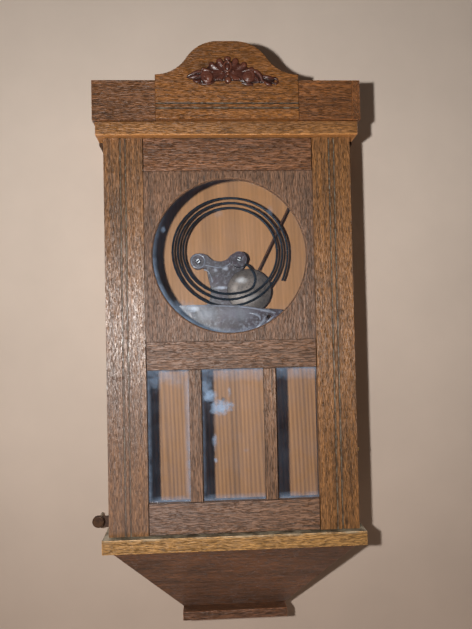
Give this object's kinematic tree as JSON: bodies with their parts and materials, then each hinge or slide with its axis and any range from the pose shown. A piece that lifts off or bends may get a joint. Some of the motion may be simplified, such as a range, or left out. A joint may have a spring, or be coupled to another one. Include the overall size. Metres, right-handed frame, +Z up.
{
  "type": "wall clock case",
  "caption": "Glazed wooden wall clock case with a full-width hinged door, round dial window, three-light lower window, coiled wire gong on a cast bracket, latch hook and levelling screw.",
  "frame": {"origin": "where the round window's axis meets the wall that the case hangs on, on the back board's rear face", "axes": "+X to the viewer's right, +Y into the wall, +Z up; the front faces -Y"},
  "size_m": [0.3633, 0.1544, 0.7497],
  "materials": {
    "oak": "aged satin varnish",
    "oak_pale": "worn satin varnish",
    "oak_dark": "dark satin stain",
    "softwood": "thin matt stain",
    "carving": "dark glossy stain",
    "glass": "clear, dusty",
    "gong_steel": "blued",
    "cast_iron": "dark japanned, dusty",
    "screw_steel": "dull",
    "brass": "tarnished",
    "brass_dark": "heavily tarnished, dusty"
  },
  "bodies": {
    "root": {"back_board": "softwood", "side_left": "oak", "side_right": "oak", "top_board": "softwood", "base_shelf": "oak_pale", "hanging_plate": "screw_steel", "strip_front": "oak_pale", "strip_left": "oak_pale", "strip_right": "oak_pale", "frieze_left": "oak", "frieze_right": "oak", "frieze_return_left": "oak", "frieze_return_right": "oak", "cornice_top": "softwood", "cove_left": "oak_dark", "cove_right": "oak_dark", "crest_board": "oak", "crest_carving": "carving", "pendant_front": "oak_dark", "pendant_left": "oak_dark", "pendant_right": "oak_dark", "pendant_block": "oak_dark", "hinge_upper_case_leaf": "brass", "hinge_upper_pin": "brass", "hinge_lower_case_leaf": "brass", "hinge_lower_pin": "brass", "latch_hook_screw": "brass", "leveller_bracket": "brass", "gong_casting": "cast_iron", "gong_hub": "cast_iron", "gong_coil": "gong_steel", "casting_screw": "screw_steel", "hub_screw": "screw_steel", "pendulum_bob": "brass_dark", "pendulum_rod": "oak_dark"},
    "door": {"door_stile_left": "oak", "door_stile_right": "oak", "door_rail_top": "oak", "door_rail_middle": "oak", "door_rail_bottom": "oak", "dial_panel": "oak", "dial_glass": "glass", "dial_bead_top": "softwood", "dial_bead_bottom": "softwood", "dial_bead_left": "softwood", "dial_bead_right": "softwood", "lower_glass": "glass", "lower_bead_top": "softwood", "lower_bead_bottom": "softwood", "lower_bead_left": "softwood", "lower_bead_right": "softwood", "muntin_left": "oak", "muntin_right": "oak", "hinge_upper_door_leaf": "brass", "hinge_lower_door_leaf": "brass", "latch_pin": "brass"},
    "hook": {"latch_hook": "brass"},
    "leveller_shank": {"leveller_screw": "brass"},
    "leveller_knob": {"leveller_knob": "brass_dark"}
  },
  "joints": [
    {"name": "door_swing", "type": "hinge", "parent": "root", "child": "door", "pos_m": [-0.1592, -0.11, -0.10025], "axis": [0, 0, -1], "range_deg": [0, 100]},
    {"name": "hook_swing", "type": "hinge", "parent": "root", "child": "hook", "pos_m": [0.1596, -0.09, -0.2527], "axis": [1, 0, 0], "range_deg": [0, 270]},
    {"name": "leveller_travel", "type": "slide", "parent": "root", "child": "leveller_shank", "axis": [0, -1, 0], "range_m": [-0.002, 0.004]},
    {"name": "leveller_turn", "type": "hinge", "parent": "leveller_shank", "child": "leveller_knob", "pos_m": [-0.185, -0.042, -0.3557], "axis": [0, -1, 0], "range_deg": [-720, 1440]}
  ],
  "couplings": [
    {"joint": "leveller_travel", "follows": "leveller_turn", "m_per_rad": 0.000159}
  ]
}
